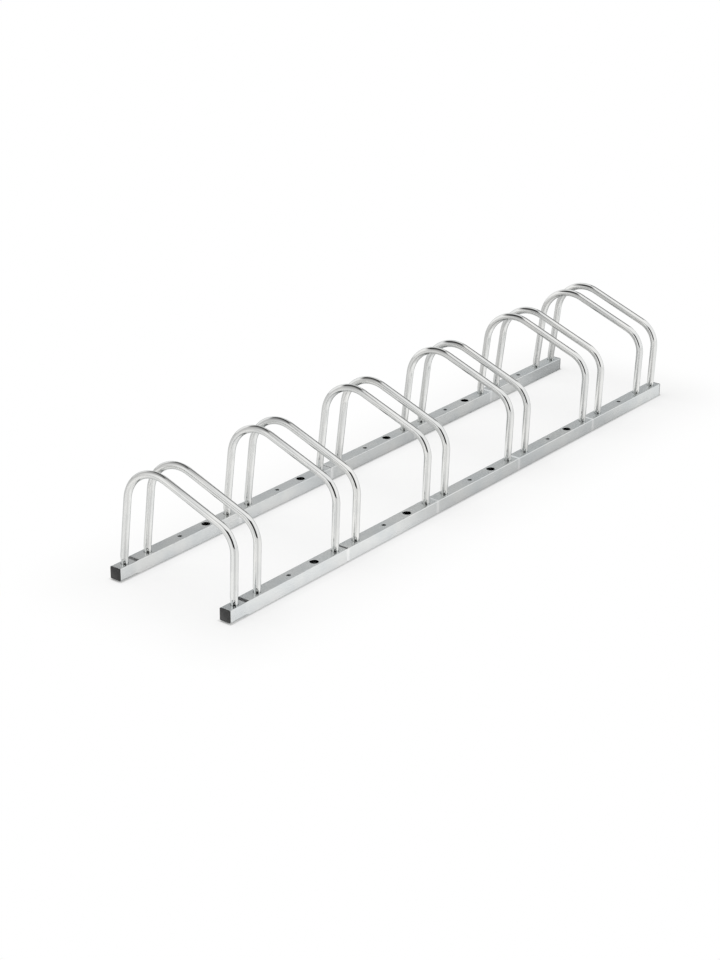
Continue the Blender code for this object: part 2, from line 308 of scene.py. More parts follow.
def add_drawn_zinc(tree, output, place, settings, line_length, line_width, line_depth, cloud_size,
                   painted_bright=0.0):
    """Zinc plating over drawn tube. Drawing leaves lines along the tube, and plating clouds. A
    painted highlight, where asked for, tints it towards white.
    """
    lines_place = add_node(tree, "ShaderNodeVectorMath", {
        0: place, 1: (1 / line_length, 1 / line_width, 1 / line_width),
    }, operation="MULTIPLY")
    lines = add_node(tree, "ShaderNodeTexNoise", {
        "Vector": lines_place, "Scale": 1.0, "Detail": 2.0, "Roughness": 0.6,
    })
    solid_place = add_node(tree, "ShaderNodeTexCoord").outputs["Object"]
    clouds = add_node(tree, "ShaderNodeTexNoise", {
        "Vector": solid_place, "Scale": 1 / cloud_size, "Detail": 3.0, "Roughness": 0.55,
    })
    patches = add_node(tree, "ShaderNodeMapRange", {
        "Value": clouds, "From Min": CLOUD_RANGE[0], "From Max": CLOUD_RANGE[1],
    })
    tint = add_node(tree, "ShaderNodeMix", {
        0: patches, COLOUR_A: opaque(settings.zinc), COLOUR_B: opaque(settings.cloud),
    }, data_type="RGBA").outputs[COLOUR_RESULT]
    # Painted highlight: tinted towards white by its share
    tint = add_node(tree, "ShaderNodeMix", {
        0: painted_bright, COLOUR_A: tint, COLOUR_B: WHITE,
    }, data_type="RGBA").outputs[COLOUR_RESULT]
    gloss = add_node(tree, "ShaderNodeMapRange", {
        "Value": lines, "From Min": LINE_RANGE[0], "From Max": LINE_RANGE[1],
        "To Min": settings.roughness * LINE_GLOSS[0], "To Max": settings.roughness * LINE_GLOSS[1],
    })
    relief = add_node(tree, "ShaderNodeBump", {
        "Height": lines, "Strength": 1.0, "Distance": line_depth,
    })
    shader = add_node(tree, "ShaderNodeBsdfPrincipled", {
        "Base Color": tint, "Metallic": 1.0, "Roughness": gloss, "Normal": relief,
        "Specular Tint": opaque(settings.edge),
    })
    tree.links.new(shader.outputs[0], output.inputs["Surface"])


def hoop_zinc(settings):
    """Bright zinc electroplate on drawn round tube: a soft mirror, with faint lines along it."""
    material, tree, output = new_material("bright_zinc_plated_drawn_tube")
    # The tube's own straightened shape, so that the lines follow the bends
    place = add_node(tree, "ShaderNodeAttribute", attribute_name="drawn_place").outputs["Vector"]
    # Lines are about 0.3 mm wide on the real tube, and 1.2 mm here so that they show
    add_drawn_zinc(tree, output, place, settings, line_length=0.25, line_width=0.0012,
                   line_depth=0.000012, cloud_size=0.06)
    return material


def add_painted_joint_highlight(tree, place, settings):
    """Where a rail is painted brighter, as a painted highlight for the light reflected at the
    joints: on the sides of each ramp that stands in another segment's mouth.
    """
    ways = add_node(tree, "ShaderNodeSeparateXYZ", {0: place})
    along, height = ways.outputs["X"], ways.outputs["Z"]
    ramp = RAIL_LOW.x + settings.plug_reach + settings.swage_start + settings.swage_length / 2
    off = add_node(tree, "ShaderNodeMath", {0: along, 1: ramp}, operation="SUBTRACT")
    off = add_node(tree, "ShaderNodeMath", {
        0: off, 1: -settings.pitch / 2, 2: settings.pitch / 2,
    }, operation="WRAP")
    off = add_node(tree, "ShaderNodeMath", {0: off}, operation="ABSOLUTE")
    on_ramp = add_node(tree, "ShaderNodeMapRange", {
        "Value": off, "From Min": settings.swage_length * HIGHLIGHT_FADE[0],
        "From Max": settings.swage_length * HIGHLIGHT_FADE[1],
        "To Min": settings.joint_highlight, "To Max": 0.0,
    }, interpolation_type="SMOOTHSTEP")
    on_side = add_node(tree, "ShaderNodeMapRange", {
        "Value": height, "From Min": settings.width - 2 * settings.corner,
        "From Max": settings.width - settings.corner, "To Min": 1.0, "To Max": 0.0,
    })
    # The first segment's ramp stands in no other segment
    joined = add_node(tree, "ShaderNodeMath", {
        0: along, 1: RAIL_LOW.x + settings.pitch / 2,
    }, operation="GREATER_THAN")
    painted_bright = on_ramp
    for share in (on_side, joined):
        painted_bright = add_node(tree, "ShaderNodeMath", {0: painted_bright, 1: share}, operation="MULTIPLY")
    return painted_bright


def rail_zinc(settings):
    """Zinc electroplate on square tube: bluish grey and satin, with lines along the rail, and a
    painted highlight at the joints.
    """
    material, tree, output = new_material("zinc_plated_square_tube")
    place = add_node(tree, "ShaderNodeTexCoord").outputs["Object"]
    # Painted highlight on the sides of the joined ramps
    painted_bright = add_painted_joint_highlight(tree, place, settings)
    # Lines are about 0.3 mm wide on the real tube, and 1.5 mm here so that they show
    add_drawn_zinc(tree, output, place, settings, line_length=0.35, line_width=0.0015,
                   line_depth=0.00003, cloud_size=0.08, painted_bright=painted_bright)
    return material


def bare_steel(name, tint):
    """Unplated steel, dulled by its oxide: dark and matt. At the holes' cut edges it is near black,
    partly its own colour and partly painted shade, so that the holes look deep.
    """
    material, tree, output = new_material(name)
    shader = add_node(tree, "ShaderNodeBsdfPrincipled", {
        "Base Color": opaque(tint), "Metallic": 0.0, "Roughness": 0.8,
    })
    tree.links.new(shader.outputs[0], output.inputs["Surface"])
    return material


def moulded_plastic(name, tint, roughness, grain, depth):
    """Injection-moulded black polyethylene: slightly waxy, with the grain of its mould."""
    material, tree, output = new_material(name)
    place = add_node(tree, "ShaderNodeTexCoord").outputs["Object"]
    dimples = add_node(tree, "ShaderNodeTexNoise", {
        "Vector": place, "Scale": 1 / grain, "Detail": 2.0, "Roughness": 0.5,
    })
    relief = add_node(tree, "ShaderNodeBump", {
        "Height": dimples, "Strength": 1.0, "Distance": depth,
    })
    shader = add_node(tree, "ShaderNodeBsdfPrincipled", {
        "Base Color": opaque(tint), "Metallic": 0.0, "Roughness": roughness, "IOR": 1.51,
        "Normal": relief,
    })
    tree.links.new(shader.outputs[0], output.inputs["Surface"])
    return material


# Shapes


def finish_mesh(bm, name, sharp_degrees):
    """Turns a bmesh into a mesh with outward faces, smooth but for its sharp edges."""
    bmesh.ops.recalc_face_normals(bm, faces=bm.faces)
    mesh = bpy.data.meshes.new(name)
    bm.to_mesh(mesh)
    bm.free()
    mesh.shade_smooth()
    mesh.set_sharp_from_angle(angle=math.radians(sharp_degrees))
    return mesh


def add_piece(name, node, shape, place, materials):
    """Copies a shape to its place in the rack, where it stands for a CAD node."""
    mesh = shape.copy()
    mesh.name = name
    mesh.transform(place)
    mesh.materials.clear()
    for material in materials:
        mesh.materials.append(material)
    piece = bpy.data.objects.new(name, mesh)
    bpy.context.scene.collection.objects.link(piece)
    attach(piece, BODY)
    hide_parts(node)


def new_parts(geom, kind):
    """The parts of one kind in what an operator made."""
    return [part for part in geom if isinstance(part, kind)]


def edges_at(verts):
    """The edges that meet at some points, each once, and in the same order each time."""
    return list(dict.fromkeys(edge for vert in verts for edge in vert.link_edges))


def carry_ring(bm, ring, frame, sections):
    """Carries a ring along a frame's Z, through sections of (distance, width)."""
    distance, width = sections[0]
    for next_distance, next_width in sections[1:]:
        geom = bmesh.ops.extrude_edge_only(bm, edges=ring)["geom"]
        ring = new_parts(geom, bmesh.types.BMEdge)
        verts = new_parts(geom, bmesh.types.BMVert)
        growth = next_width / width
        bmesh.ops.scale(bm, vec=(growth, growth, 1), space=frame.inverted(), verts=verts)
        bmesh.ops.translate(bm, vec=(next_distance - distance) * frame.col[2].xyz, verts=verts)
        distance, width = next_distance, next_width
    return ring


class TubeSkin:
    """A ring of edges that is carried along a route and leaves a tube's skin behind it.

    The frame is a matrix at the ring's centre: its Z is the way forward, and its X stays
    along the rack, so every bend lies in the plane of the hoop. Each point also keeps
    its place on the straight tube that the hoop was bent from.
    """

    def __init__(self, bm, start, radius, sides, settings):
        self.bm = bm
        self.radius = radius
        self.settings = settings
        self.travelled = 0.0
        self.drawn_place = (bm.verts.layers.float_vector.get("drawn_place")
                            or bm.verts.layers.float_vector.new("drawn_place"))
        self.frame = Matrix.Translation(start)
        turned = self.frame @ Matrix.Rotation(math.pi / 4, 4, "Z")
        made = bmesh.ops.create_circle(bm, segments=sides, radius=radius, matrix=turned)
        self.ring = edges_at(made["verts"])
        self.crimp(made["verts"], self.frame, 1.0)

    def crimp(self, verts, old_frame, depth):
        """Moves the ring's points from an old frame to the present one, and crimps them."""
        to_local = old_frame.inverted()
        settings = self.settings
        for vert in verts:
            local = to_local @ vert.co
            turn = math.atan2(local.y, local.x)
            around = Vector((math.cos(turn), math.sin(turn), 0))
            outward = self.frame.to_3x3() @ around
            # The creases lie between the rack's axes: two opposite ones are deep, two shallow
            deep = settings.crease_depth if outward.x * outward.y > 0 else settings.side_crease
            crease = abs(math.sin(2 * turn)) ** settings.crease_sharpness
            sink = depth * (settings.crimp_shrink + deep * crease)
            vert.co = self.frame @ ((self.radius - sink) * around)
            on_tube = self.radius * around
            vert[self.drawn_place] = (self.travelled, on_tube.x, on_tube.y)

    def straight(self, distance, depth=0.0):
        """Carries the ring straight on."""
        made = bmesh.ops.extrude_edge_only(self.bm, edges=self.ring)["geom"]
        self.ring = new_parts(made, bmesh.types.BMEdge)
        old_frame = self.frame
        self.frame = self.frame @ Matrix.Translation((0, 0, distance))
        self.travelled += distance
        self.crimp(new_parts(made, bmesh.types.BMVert), old_frame, depth)

    def ramp(self, distance, sinking):
        """Runs the crimp out, or in."""
        for step in range(1, CRIMP_STEPS + 1):
            depth = smooth_step(step / CRIMP_STEPS)
            self.straight(distance / CRIMP_STEPS, depth if sinking else 1 - depth)

    def bend(self, turn, radius, steps):
        """Spins the ring round the bend's centre, which is on its -Y side for a positive turn."""
        centre = self.frame @ Vector((0, -math.copysign(radius, turn), 0))
        move = (Matrix.Translation(centre) @ Matrix.Rotation(turn / steps, 4, "X")
                @ Matrix.Translation(-centre))
        for _ in range(steps):
            made = bmesh.ops.spin(self.bm, geom=self.ring, cent=centre, axis=(1, 0, 0),
                                  angle=turn / steps, steps=1, use_merge=False,
                                  use_duplicate=False)["geom_last"]
            self.ring = new_parts(made, bmesh.types.BMEdge)
            self.frame = move @ self.frame
            self.travelled += abs(turn) * radius / steps
            to_local = self.frame.inverted()
            for vert in new_parts(made, bmesh.types.BMVert):
                local = to_local @ vert.co
                vert[self.drawn_place] = (self.travelled, local.x, local.y)


def cross(a, b):
    """The cross product of two plane vectors."""
    return a.x * b.y - a.y * b.x


def hoop_runs(settings):
    """Lengths of the rear leg, the slope and the front leg, between the bends.

    The vectors are (along Y, up), with the line through the hoop's feet as the ground.
    """
    rear_lean, front_lean, slope_angle = settings.rear_lean, settings.front_lean, settings.slope
    half = settings.spread / 2
    top = settings.height - settings.diameter / 2

    def foot(side, lean):
        shift = settings.foot_radius * (1 - math.cos(lean))
        rise = settings.foot_radius * math.sin(lean)
        return Vector((side * half - shift, settings.crimp_height + rise))

    def inward(way):
        return Vector((-way.y, way.x))

    rear_foot = foot(1, rear_lean)
    front_foot = foot(-1, front_lean)
    up_rear = Vector((-math.sin(rear_lean), math.cos(rear_lean)))
    down_slope = Vector((-math.cos(slope_angle), -math.sin(slope_angle)))
    down_front = Vector((math.sin(front_lean), -math.cos(front_lean)))

    rise = top - settings.rear_radius - rear_foot.y + settings.rear_radius * math.sin(rear_lean)
    rear_leg = rise / math.cos(rear_lean)
    rear_centre = rear_foot + rear_leg * up_rear + settings.rear_radius * inward(up_rear)
    slope_start = rear_centre - settings.rear_radius * inward(down_slope)
    corner = settings.front_radius * (inward(down_slope) - inward(down_front))
    rest = front_foot - slope_start - corner
    slope = cross(rest, down_front) / cross(down_slope, down_front)
    front_leg = cross(down_slope, rest) / cross(down_slope, down_front)
    return rear_leg, slope, front_leg


def run_hoop(bm, radius, sides, settings):
    """One skin of a hoop, from the rear foot over the top to the front foot."""
    rear_leg, slope, front_leg = hoop_runs(settings)
    crimped = settings.crimp_height - settings.crimp_ramp
    rear_turn = math.pi / 2 - settings.rear_lean + settings.slope
    front_turn = math.pi / 2 - settings.slope + settings.front_lean
    skin = TubeSkin(bm, Vector((0, settings.spread / 2, 0)), radius, sides, settings)
    skin.straight(crimped, depth=1.0)
    skin.ramp(settings.crimp_ramp, sinking=False)
    skin.bend(settings.rear_lean, settings.foot_radius, FOOT_BEND_STEPS)
    skin.straight(rear_leg)
    skin.bend(rear_turn, settings.rear_radius, REAR_BEND_STEPS)
    skin.straight(slope)
    skin.bend(front_turn, settings.front_radius, FRONT_BEND_STEPS)
    skin.straight(front_leg)
    skin.bend(-settings.front_lean, settings.foot_radius, FOOT_BEND_STEPS)
    skin.ramp(settings.crimp_ramp, sinking=True)
    skin.straight(crimped, depth=1.0)


def hoop_shape(settings):
    """A bent tube, open at both crimped ends."""
    bm = bmesh.new()
    run_hoop(bm, settings.diameter / 2, TUBE_SIDES, settings)
    outside = set(bm.faces)
    run_hoop(bm, settings.diameter / 2 - settings.wall, BORE_SIDES, settings)
    # The bore has to face inwards before the rims are bridged, or the bridges cross over
    bmesh.ops.recalc_face_normals(bm, faces=bm.faces)
    bmesh.ops.reverse_faces(bm, faces=[face for face in bm.faces if face not in outside])
    rims = [edge for edge in bm.edges if edge.is_boundary]
    for rear in (True, False):
        rim = [edge for edge in rims if (edge.verts[0].co.y > 0) == rear]
        bmesh.ops.bridge_loops(bm, edges=rim)
    return finish_mesh(bm, "hoop_shape", sharp_degrees=40)


# A frame whose Z runs along the rack
ALONG_X = Matrix(((0, 0, 1, 0), (0, 1, 0, 0), (-1, 0, 0, 0), (0, 0, 0, 1)))

# A rail segment's materials, by their index
PLATED, INSIDE, PUNCHED_AND_SHADED = range(3)


def rail_skin(settings):
    """The outside of one segment: a square ring run along X from its pressed-down end."""
    bm = bmesh.new()
    full, plugged = settings.width, settings.plugged_width
    sections = [(-settings.plug_reach, plugged)]
    for step in range(SWAGE_STEPS + 1):
        share = step / SWAGE_STEPS
        eased = (share + smooth_step(share)) / 2
        sections.append((settings.swage_start + share * settings.swage_length,
                         plugged + eased * (full - plugged)))
    sections.append((settings.pitch + settings.sleeve_reach, full))
    frame = Matrix.Translation((0, 0, full / 2)) @ ALONG_X
    place = (frame @ Matrix.Translation((0, 0, -settings.plug_reach))
             @ Matrix.Rotation(math.pi / 4, 4, "Z"))
    made = bmesh.ops.create_circle(bm, segments=4, radius=plugged / math.sqrt(2), matrix=place)
    carry_ring(bm, edges_at(made["verts"]), frame, sections)
    long_edges = [edge for edge in bm.edges
                  if abs(edge.verts[0].co.x - edge.verts[1].co.x) > SAME_PLACE]
    bmesh.ops.bevel(bm, geom=long_edges, offset=settings.corner, offset_type="OFFSET",
                    segments=CORNER_STEPS, profile=0.5, affect="EDGES", material=-1)
    return finish_mesh(bm, "rail_skin", sharp_degrees=60)


def lip_sections(radius, lip, bottom, top):
    """A hole's plug as sections of (height, radius), rolled outwards at the top by the lip."""
    sections = [(bottom, radius)]
    for step in range(LIP_STEPS + 1):
        turn = step / LIP_STEPS * LIP_TURN
        sections.append((top - lip + lip * math.sin(turn), radius + lip * (1 - math.cos(turn))))
    # The plug goes straight on from its last step, to well above the tube
    (low, narrow), (high, wide) = sections[-2:]
    rise = top / 8
    sections.append((high + rise, wide + rise * (wide - narrow) / (high - low)))
    return sections


def add_hole_plug(bm, x, sections):
    """A round plug at a place along the segment."""
    bottom, radius = sections[0]
    frame = Matrix.Translation((x, 0, 0))
    made = bmesh.ops.create_circle(bm, cap_ends=True, segments=HOLE_SIDES, radius=radius,
                                   matrix=Matrix.Translation((x, 0, bottom)))
    ring = carry_ring(bm, edges_at(made["verts"]), frame, sections)
    bmesh.ops.contextual_create(bm, geom=ring)


def hole_cutter(settings, last):
    """Plugs for a segment's holes: hoop holes in the top wall, a screw hole through both.

    The third hoop hole is free, but for the last segment, where the last pair stands in it.
    """
    bm = bmesh.new()
    top = settings.width
    hoop = lip_sections(settings.hoop_hole / 2, settings.lip, top / 2, top)
    free = lip_sections(settings.free_hole / 2, settings.free_lip, top / 2, top)
    screw = lip_sections(settings.screw_hole / 2, settings.lip, -top / 2, top)
    for x, sections in (
            (0.0, hoop),
            (settings.pair_spacing, hoop),
            (settings.pitch, hoop),
            (settings.pitch - settings.pair_spacing, hoop if last else free),
            (settings.screw_offset, screw)):
        add_hole_plug(bm, x, sections)
    # The holes' walls and lips take the near-black steel, partly painted shade
    for face in bm.faces:
        face.material_index = PUNCHED_AND_SHADED
    return finish_mesh(bm, "hole_cutter", sharp_degrees=30)


def rail_shape(settings, last, materials):
    """One rail segment: a square tube with punched holes and slightly rounded cut edges."""
    tube = bpy.data.objects.new("rail_tube", rail_skin(settings))
    cutter = bpy.data.objects.new("hole_cutter", hole_cutter(settings, last))
    for helper in (tube, cutter):
        bpy.context.scene.collection.objects.link(helper)
        for material in materials:
            helper.data.materials.append(material)
    wall = tube.modifiers.new("wall", "SOLIDIFY")
    wall.thickness = settings.wall
    wall.offset = -1
    wall.use_even_offset = True
    wall.material_offset = INSIDE - PLATED
    wall.material_offset_rim = 0
    holes = tube.modifiers.new("holes", "BOOLEAN")
    holes.operation = "DIFFERENCE"
    holes.solver = "EXACT"
    holes.object = cutter
    cuts = tube.modifiers.new("cuts", "BEVEL")
    cuts.width = settings.cut_edge
    cuts.segments = CUT_EDGE_STEPS
    cuts.limit_method = "ANGLE"
    cuts.angle_limit = CUT_EDGE_ANGLE
    # The big flat faces rule the shading, so that they look flat up to their edges
    flats = tube.modifiers.new("flats", "WEIGHTED_NORMAL")
    flats.weight = 100
    graph = bpy.context.evaluated_depsgraph_get()
    mesh = bpy.data.meshes.new_from_object(tube.evaluated_get(graph))
    for helper in (tube, cutter):
        bpy.data.objects.remove(helper, do_unlink=True)
    return mesh


GRAINED = 1                     # index of the panel's material in a cap
RIB_START = 0.75                # the first rib's crest, in rib pitches
RIM_ROUNDING = 0.6              # of the plate's chamfer, as a share of its edge


def on_section(edge, section):
    """True for an edge of the ring at a section."""
    return all(abs(vert.co.x - section[0]) < SAME_PLACE for vert in edge.verts)


def cap_shape(name, width, settings, tube_wall, tube_corner):
    """A square cap, its panel towards -X and its ribbed hollow plug towards +X."""
    rib = width - 2 * (tube_wall + settings.gap)
    core = rib - 2 * settings.rib
    rib_pitch = settings.plug / (settings.ribs + 1)
    panel = width - 2 * settings.border
    bore = core - 2 * settings.plug_wall
    front = settings.rise - settings.head
    rim = (front + settings.edge, width)
    sections = [
        (-settings.head, panel - 2 * settings.rise),
        (front, panel),
        (front, width - 2 * settings.edge),
        rim,
        (0.0, width),
        (0.0, core),
    ]
    for index in range(settings.ribs):
        crest = (index + RIB_START) * rib_pitch
        sections += [(crest, rib), (crest + rib_pitch / 2, core)]
    sections += [(settings.plug, core), (settings.plug, bore), (0.0, bore)]
    bm = bmesh.new()
    x, size = sections[0]
    bmesh.ops.create_grid(bm, x_segments=1, y_segments=1, size=size / 2,
                          matrix=Matrix.Translation((x, 0, 0)) @ ALONG_X)
    bmesh.ops.bevel(bm, geom=bm.verts[:], offset=tube_corner * size / width, offset_type="OFFSET",
                    segments=CORNER_STEPS, profile=0.5, affect="VERTICES", material=-1)
    for panel_face in bm.faces:
        panel_face.material_index = GRAINED
    ring = carry_ring(bm, bm.edges[:], ALONG_X, sections)
    bmesh.ops.contextual_create(bm, geom=ring)
    rounded = [edge for edge in bm.edges if on_section(edge, rim)]
    bmesh.ops.bevel(bm, geom=rounded, offset=settings.edge * RIM_ROUNDING, offset_type="OFFSET",
                    segments=CAP_EDGE_STEPS, profile=0.5, affect="EDGES", material=-1)
    return finish_mesh(bm, name, sharp_degrees=40)


# Stage

FLOOR_RADIUS = 15.0
FLOOR_POLISH = 0.25             # roughness of what the floor mirrors
CONTACT_LEVEL = 0.10            # share of white left in the dark line beside the rails
SOFTBOX_PLACE = Vector((-0.6, 1.4, 3.2))
SOFTBOX_SIZE = 2.4


class MirroredFront(NamedTuple):
    """The floor in front of one rail, as the metal mirrors it. Levels are shares of white."""

    face: float             # where the rail's front face stands, along Y
    middle: float           # middle of the dark stretch beside the rail, along X
    near: float             # how far from the middle it starts to lighten
    far: float              # how far from the middle it is light
    dark: float             # level in the dark stretch
    light: float            # level beside the rail's ends
    clear: float            # level away from the rail


class Flag(NamedTuple):
    """A soft grey screen, as round a real product table."""

    name: str
    place: tuple            # of its middle
    half_width: float
    half_height: float
    turn: float             # about the line to the rack's middle
    brightness: float
    even: float             # share of its size that is even, before it fades out


# The metal mirrors the floor in front brightly, inside the rack less so, and behind it least
FRONTS = (
    MirroredFront(RAIL_LOW.y, 0.25, 0.28, 0.58, dark=0.28, light=0.77, clear=0.66),
    MirroredFront(-RAIL_HIGH.y, 0.22, 0.15, 0.60, dark=0.24, light=0.54, clear=0.74),
)
BESIDE_RAIL = (0.12, 0.06)      # from a rail's face: no longer beside it, and all beside it
BACK_FADE = (0.25, 0.75)        # where the floor behind the rack darkens, along Y
BACK_LEVEL = 0.45
DARK_CORNER = (0.88, 0.16, 0.0)         # mirrored by the far end of the rear rail
DARK_CORNER_FADE = (0.09, 0.34)         # from its middle: all dark, and no longer dark

FLAGS = (
    Flag("overhead_flag", (-0.22, 0.86, 1.38), 1.26, 0.90, -0.22, 0.05, 0.55),
    Flag("near_flag", (-2.20, -1.90, 1.10), 1.20, 1.55, 0.25, 0.03, 0.90),
    Flag("arm_flag", (-2.95, -0.40, 2.60), 1.95, 1.05, -0.10, 0.52, 0.20),
    Flag("side_flag", (4.92, 1.10, 3.40), 1.15, 2.80, 0.0, 0.25, 0.80),
    Flag("far_flag", (6.30, 4.70, 3.60), 2.90, 1.60, 0.0, 0.61, 0.62),
    Flag("back_flag", (-0.81, 0.67, 0.63), 0.63, 1.24, -0.1, 0.50, 0.0),
)


def add_distance_outside(tree, point, half_size):
    """How far a point lies outside a box round the origin."""
    over = add_node(tree, "ShaderNodeVectorMath", {0: point, 1: half_size}, operation="SUBTRACT")
    over = add_node(tree, "ShaderNodeVectorMath", {0: over}, operation="MAXIMUM")
    return add_node(tree, "ShaderNodeVectorMath", {0: over}, operation="LENGTH").outputs["Value"]


def add_shadow(tree, place, settings):
    """How white the eye sees the floor. A thin contact shadow runs along both rails."""
    side = add_node(tree, "ShaderNodeVectorMath", {0: place}, operation="ABSOLUTE")
    away = add_distance_outside(tree, side, cad_box[1])
    # The soft shadow lies under the rack, and fades into white outside it
    evenness = add_node(tree, "ShaderNodeMapRange", {
        "Value": away, "From Min": 0.0, "From Max": settings.shadow_reach,
        "To Min": settings.floor_glow, "To Max": 1.0,
    }, interpolation_type="SMOOTHSTEP")
    rail = (0.0, RAIL_SPACING / 2, 0.0)
    off = add_node(tree, "ShaderNodeVectorMath", {0: side, 1: rail}, operation="SUBTRACT")
    off = add_node(tree, "ShaderNodeVectorMath", {0: off}, operation="ABSOLUTE")
    rail_size = (cad_box[1][0], (RAIL_HIGH.y - RAIL_LOW.y) / 2, 0.0)
    contact = add_node(tree, "ShaderNodeMapRange", {
        "Value": add_distance_outside(tree, off, rail_size),
        "From Min": 0.0, "From Max": settings.contact_reach, "To Min": CONTACT_LEVEL, "To Max": 1.0,
    }, interpolation_type="SMOOTHSTEP")
    return add_node(tree, "ShaderNodeMath", {0: evenness, 1: contact}, operation="MULTIPLY")


def add_mirrored_level(tree, place):
    """How bright the metal sees the floor: falling off to the middle of the rails beside them."""
    ways = add_node(tree, "ShaderNodeSeparateXYZ", {0: place})
    along, across = ways.outputs["X"], ways.outputs["Y"]
    levels = []
    for front in FRONTS:
        off = add_node(tree, "ShaderNodeMath", {0: along, 1: front.middle}, operation="SUBTRACT")
        off = add_node(tree, "ShaderNodeMath", {0: off}, operation="ABSOLUTE")
        beside = add_node(tree, "ShaderNodeMapRange", {
            "Value": off, "From Min": front.near, "From Max": front.far,
            "To Min": front.dark, "To Max": front.light,
        }, interpolation_type="SMOOTHSTEP")
        close = add_node(tree, "ShaderNodeMapRange", {
            "Value": across, "From Min": front.face - BESIDE_RAIL[0],
            "From Max": front.face - BESIDE_RAIL[1],
        }, interpolation_type="SMOOTHSTEP")
        levels.append(add_node(tree, "ShaderNodeMix", {
            0: close, FLOAT_A: front.clear, FLOAT_B: beside,
        }, data_type="FLOAT"))
    within = add_node(tree, "ShaderNodeMapRange", {
        "Value": across, "From Min": RAIL_LOW.y, "From Max": RAIL_HIGH.y,
    }, interpolation_type="SMOOTHSTEP")
    level = add_node(tree, "ShaderNodeMix", {
        0: within, FLOAT_A: levels[0], FLOAT_B: levels[1],
    }, data_type="FLOAT")
    behind = add_node(tree, "ShaderNodeMapRange", {
        "Value": across, "From Min": BACK_FADE[0], "From Max": BACK_FADE[1],
        "To Min": 1.0, "To Max": BACK_LEVEL,
    }, interpolation_type="SMOOTHSTEP")
    corner = add_node(tree, "ShaderNodeVectorMath", {0: place, 1: DARK_CORNER},
                      operation="DISTANCE").outputs["Value"]
    corner = add_node(tree, "ShaderNodeMapRange", {
        "Value": corner, "From Min": DARK_CORNER_FADE[0], "From Max": DARK_CORNER_FADE[1],
    }, interpolation_type="SMOOTHSTEP")
    for share in (behind, corner):
        level = add_node(tree, "ShaderNodeMath", {0: level, 1: share}, operation="MULTIPLY")
    return level


def floor_paint(settings):
    """Matt paint, which the eye and the metal see evened out, so that its shadow stays soft."""
    material, tree, output = new_material("matt_floor_paint")
    place = add_node(tree, "ShaderNodeTexCoord").outputs["Object"]
    rays = add_node(tree, "ShaderNodeLightPath")
    paint = add_node(tree, "ShaderNodeBsdfDiffuse", {"Color": opaque(settings.floor)})
    white = add_node(tree, "ShaderNodeEmission", {"Color": WHITE, "Strength": 1.0})
    seen = add_node(tree, "ShaderNodeMixShader", {
        0: add_shadow(tree, place, settings), 1: paint, 2: white,
    })
    sheen = add_node(tree, "ShaderNodeEmission", {
        "Color": WHITE, "Strength": add_mirrored_level(tree, place),
    })
    mirrored = add_node(tree, "ShaderNodeMixShader", {0: settings.floor_sheen, 1: paint, 2: sheen})
    gloss = add_node(tree, "ShaderNodeBsdfGlossy", {
        "Color": opaque([settings.floor_gloss] * 3), "Roughness": FLOOR_POLISH,
    })
    mirrored = add_node(tree, "ShaderNodeAddShader", {0: mirrored, 1: gloss})
    surface = add_node(tree, "ShaderNodeMixShader", {
        0: rays.outputs["Is Camera Ray"], 1: paint, 2: seen,
    })
    surface = add_node(tree, "ShaderNodeMixShader", {
        0: rays.outputs["Is Glossy Ray"], 1: surface, 2: mirrored,
    })
    tree.links.new(surface.outputs[0], output.inputs["Surface"])
    return material


def add_floor(settings):
    """A round floor, big enough to reach past the camera's view."""
    bm = bmesh.new()
    bmesh.ops.create_circle(bm, cap_ends=True, segments=FLOOR_SIDES, radius=FLOOR_RADIUS)
    mesh = finish_mesh(bm, "studio_floor", sharp_degrees=30)
    mesh.materials.append(floor_paint(settings))
    floor = bpy.data.objects.new("studio_floor", mesh)
    bpy.context.scene.collection.objects.link(floor)


def add_light(scene, settings):
    """A softbox overhead, and even light from all round that metal sees as white."""
    lamp = bpy.data.lights.new("softbox", "AREA")
    lamp.shape = "SQUARE"
    lamp.size = SOFTBOX_SIZE
    lamp.energy = settings.softbox
    box = bpy.data.objects.new("softbox", lamp)
    box.matrix_world = facing(SOFTBOX_PLACE)
    box.visible_glossy = False
    scene.collection.objects.link(box)

    world = bpy.data.worlds.new("white_room")
    scene.world = world
    world.use_nodes = True
    tree = world.node_tree
    tree.nodes.clear()
    output = add_node(tree, "ShaderNodeOutputWorld")
    soft = add_node(tree, "ShaderNodeBackground", {"Color": WHITE, "Strength": settings.room})
    white = add_node(tree, "ShaderNodeBackground", {"Color": WHITE, "Strength": 1.0})
    rays = add_node(tree, "ShaderNodeLightPath")
    direct = add_node(tree, "ShaderNodeMath", {
        0: rays.outputs["Is Camera Ray"], 1: rays.outputs["Is Glossy Ray"],
    }, operation="MAXIMUM")
    surface = add_node(tree, "ShaderNodeMixShader", {0: direct, 1: soft, 2: white})
    tree.links.new(surface.outputs[0], output.inputs["Surface"])


def facing(place):
    """A frame at a place, its back towards the rack's middle as a lamp needs."""
    return Matrix.Translation(place) @ place.to_track_quat("Z", "Y").to_matrix().to_4x4()


